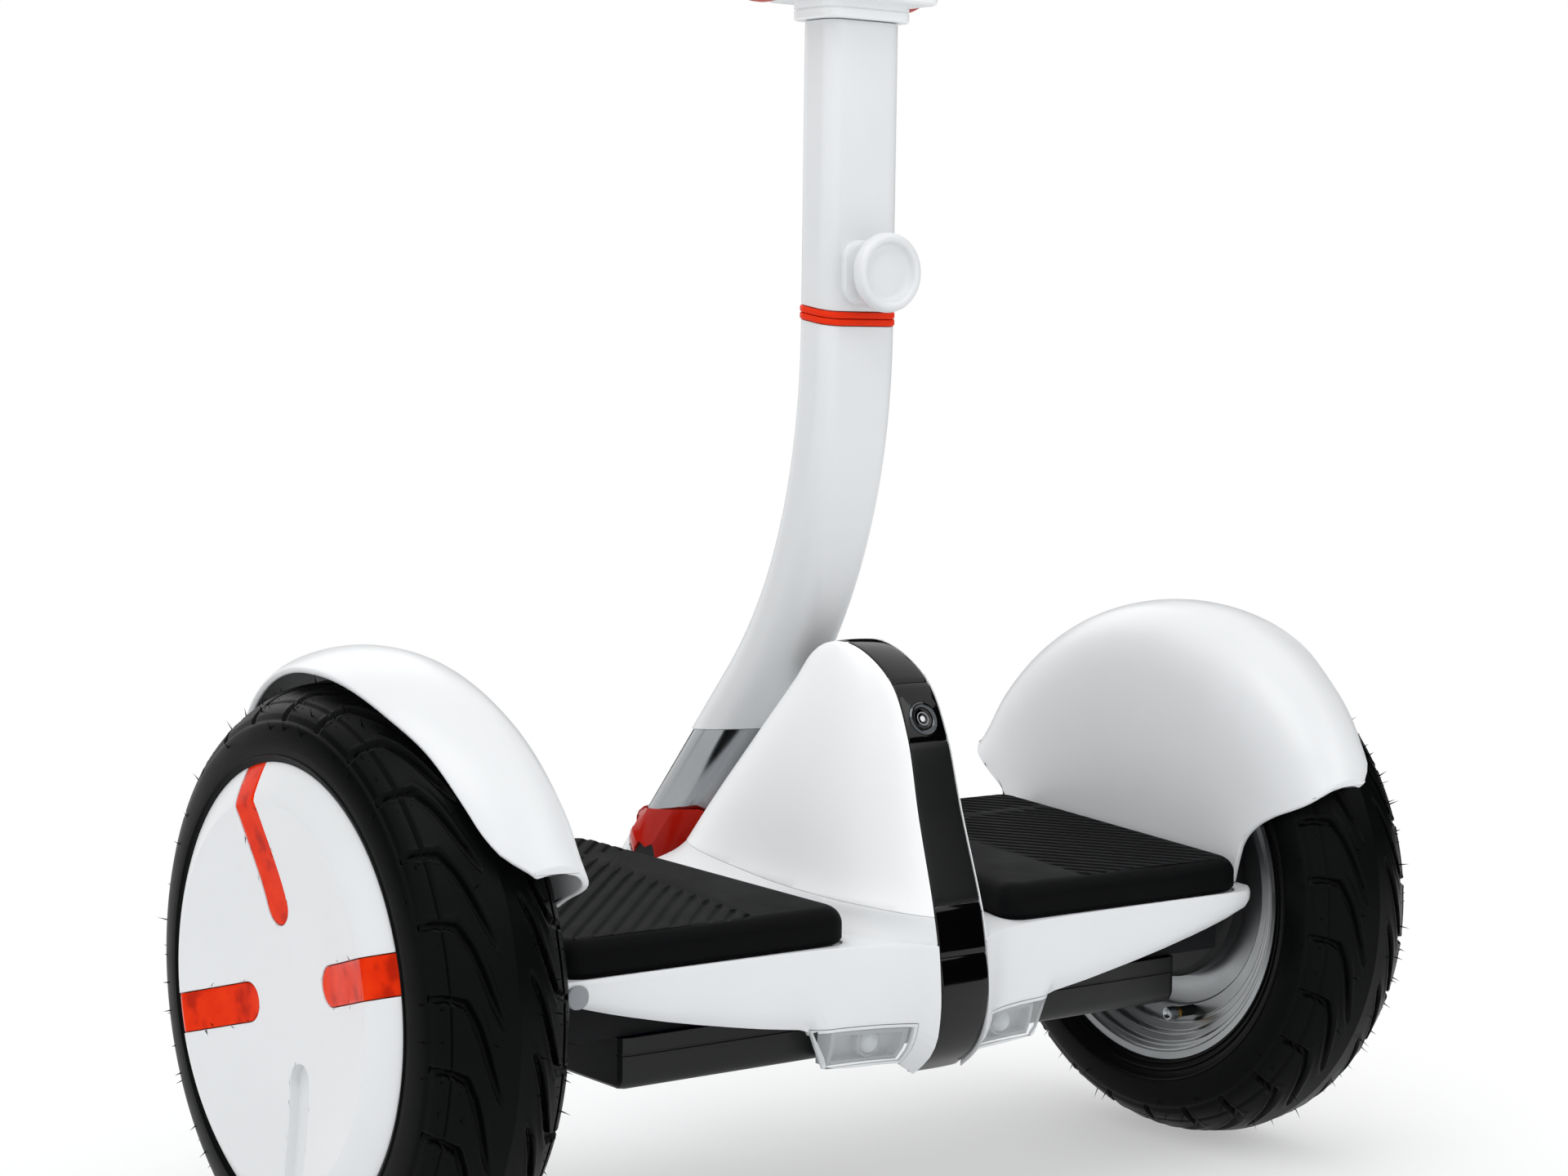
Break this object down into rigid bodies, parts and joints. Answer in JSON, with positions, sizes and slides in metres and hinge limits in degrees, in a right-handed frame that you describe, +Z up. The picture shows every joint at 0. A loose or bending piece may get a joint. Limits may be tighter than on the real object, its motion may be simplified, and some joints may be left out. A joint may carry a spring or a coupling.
{
  "type": "self balancing personal transporter",
  "caption": "Two-wheeled self balancing personal transporter with foot mats, fenders, a central hump and a leaning knee-steered bar with a height clamp.",
  "frame": {"origin": "on the ground, under the middle of the line of the two axles", "axes": "+X to the rider's right along the axle, +Y forward in the direction of travel, +Z up"},
  "size_m": [0.552, 0.2681, 0.595],
  "materials": {
    "shell_white": "satin white moulded plastic and paint",
    "frame_black": "fine grained black",
    "satin_black": "satin black",
    "gloss_black": "piano black",
    "rubber_black": "matt black rubber",
    "mat_rubber": "matt ribbed rubber",
    "tyre": "black tyre rubber",
    "window_orange": "translucent orange red",
    "ring_orange": "orange plastic",
    "collar_red": "translucent red",
    "pad_red": "soft coral red foam skin",
    "aluminium": "painted silver casting",
    "steel": "polished",
    "copper": "wound stator",
    "lens_clear": "clear lens",
    "lamp_grey": "grey reflector housing",
    "port_grey": "grey rubber",
    "board_green": "solder mask",
    "battery_wrap": "shrink wrap"
  },
  "bodies": {
    "chassis": {"chassis_frame": "frame_black", "battery_case": "frame_black", "battery_pack": "battery_wrap", "control_board": "board_green", "deck_cover": "shell_white", "hump_cover": "shell_white", "strip_crown": "gloss_black", "strip_button_panel": "gloss_black", "strip_spine": "satin_black", "strip_link": "gloss_black", "strip_tail": "gloss_black", "button_bezel": "steel", "charge_socket": "satin_black", "rear_shaft_bearing": "steel", "front_shaft_bearing": "steel", "centring_bush": "rubber_black", "left_fender": "shell_white", "right_fender": "shell_white", "left_foot_sensor": "satin_black", "right_foot_sensor": "satin_black", "left_tail_lens": "lens_clear", "right_tail_lens": "lens_clear", "left_tail_lamp": "lamp_grey", "right_tail_lamp": "lamp_grey", "left_stator": "copper", "right_stator": "copper", "left_axle": "steel", "right_axle": "steel"},
    "left_wheel": {"left_tyre": "tyre", "left_rim": "aluminium", "left_hubcap": "shell_white", "left_window_top": "window_orange", "left_window_front": "window_orange", "left_window_rear": "window_orange", "left_valve": "rubber_black", "left_wheel_bearing": "steel"},
    "right_wheel": {"right_tyre": "tyre", "right_rim": "aluminium", "right_hubcap": "shell_white", "right_window_top": "window_orange", "right_window_front": "window_orange", "right_window_rear": "window_orange", "right_valve": "rubber_black", "right_wheel_bearing": "steel"},
    "left_footrest": {"left_mat": "mat_rubber"},
    "right_footrest": {"right_mat": "mat_rubber"},
    "button": {"power_button": "gloss_black"},
    "port_cover": {"charge_port_cover": "port_grey"},
    "steering": {"steering_knuckle": "shell_white", "bar_base_collar": "collar_red", "bar_spigot": "steel", "bar_tube": "shell_white", "lower_ring": "ring_orange", "inner_post": "aluminium"},
    "head": {"sleeve": "shell_white", "upper_ring": "ring_orange", "head_block": "shell_white", "left_knee_pad": "pad_red", "right_knee_pad": "pad_red"},
    "knob": {"clamp_knob": "shell_white"}
  },
  "joints": [
    {"name": "left_wheel_spin", "type": "hinge", "parent": "chassis", "child": "left_wheel", "pos_m": [-0.2354, 0, 0.1255], "axis": [1, 0, 0], "continuous": true},
    {"name": "right_wheel_spin", "type": "hinge", "parent": "chassis", "child": "right_wheel", "pos_m": [0.2354, 0, 0.1255], "axis": [1, 0, 0], "continuous": true},
    {"name": "steering_lean", "type": "hinge", "parent": "chassis", "child": "steering", "pos_m": [0, 0.1, 0.1235], "axis": [0, 1, 0], "range_deg": [-15, 15], "stiffness_Nm_per_rad": 30},
    {"name": "bar_height", "type": "slide", "parent": "steering", "child": "head", "axis": [0, 0, 1], "range_m": [0, 0.15]},
    {"name": "height_knob", "type": "hinge", "parent": "head", "child": "knob", "pos_m": [0, -0.04, 0.4195], "axis": [0, 1, 0], "range_deg": [0, 360]},
    {"name": "power_button_press", "type": "slide", "parent": "chassis", "child": "button", "axis": [0, 0.911, -0.4123], "range_m": [0, 0.001], "stiffness_N_per_m": 800, "springref_m": -0.0005},
    {"name": "charge_port_cover_swing", "type": "hinge", "parent": "chassis", "child": "port_cover", "pos_m": [-0.1803, -0.087, 0.13], "axis": [0, 0, 1], "range_deg": [0, 110]},
    {"name": "left_mat_press", "type": "slide", "parent": "chassis", "child": "left_footrest", "axis": [0, 0, -1], "range_m": [0, 0.001], "stiffness_N_per_m": 30000, "springref_m": -0.0005},
    {"name": "right_mat_press", "type": "slide", "parent": "chassis", "child": "right_footrest", "axis": [0, 0, -1], "range_m": [0, 0.001], "stiffness_N_per_m": 30000, "springref_m": -0.0005}
  ]
}
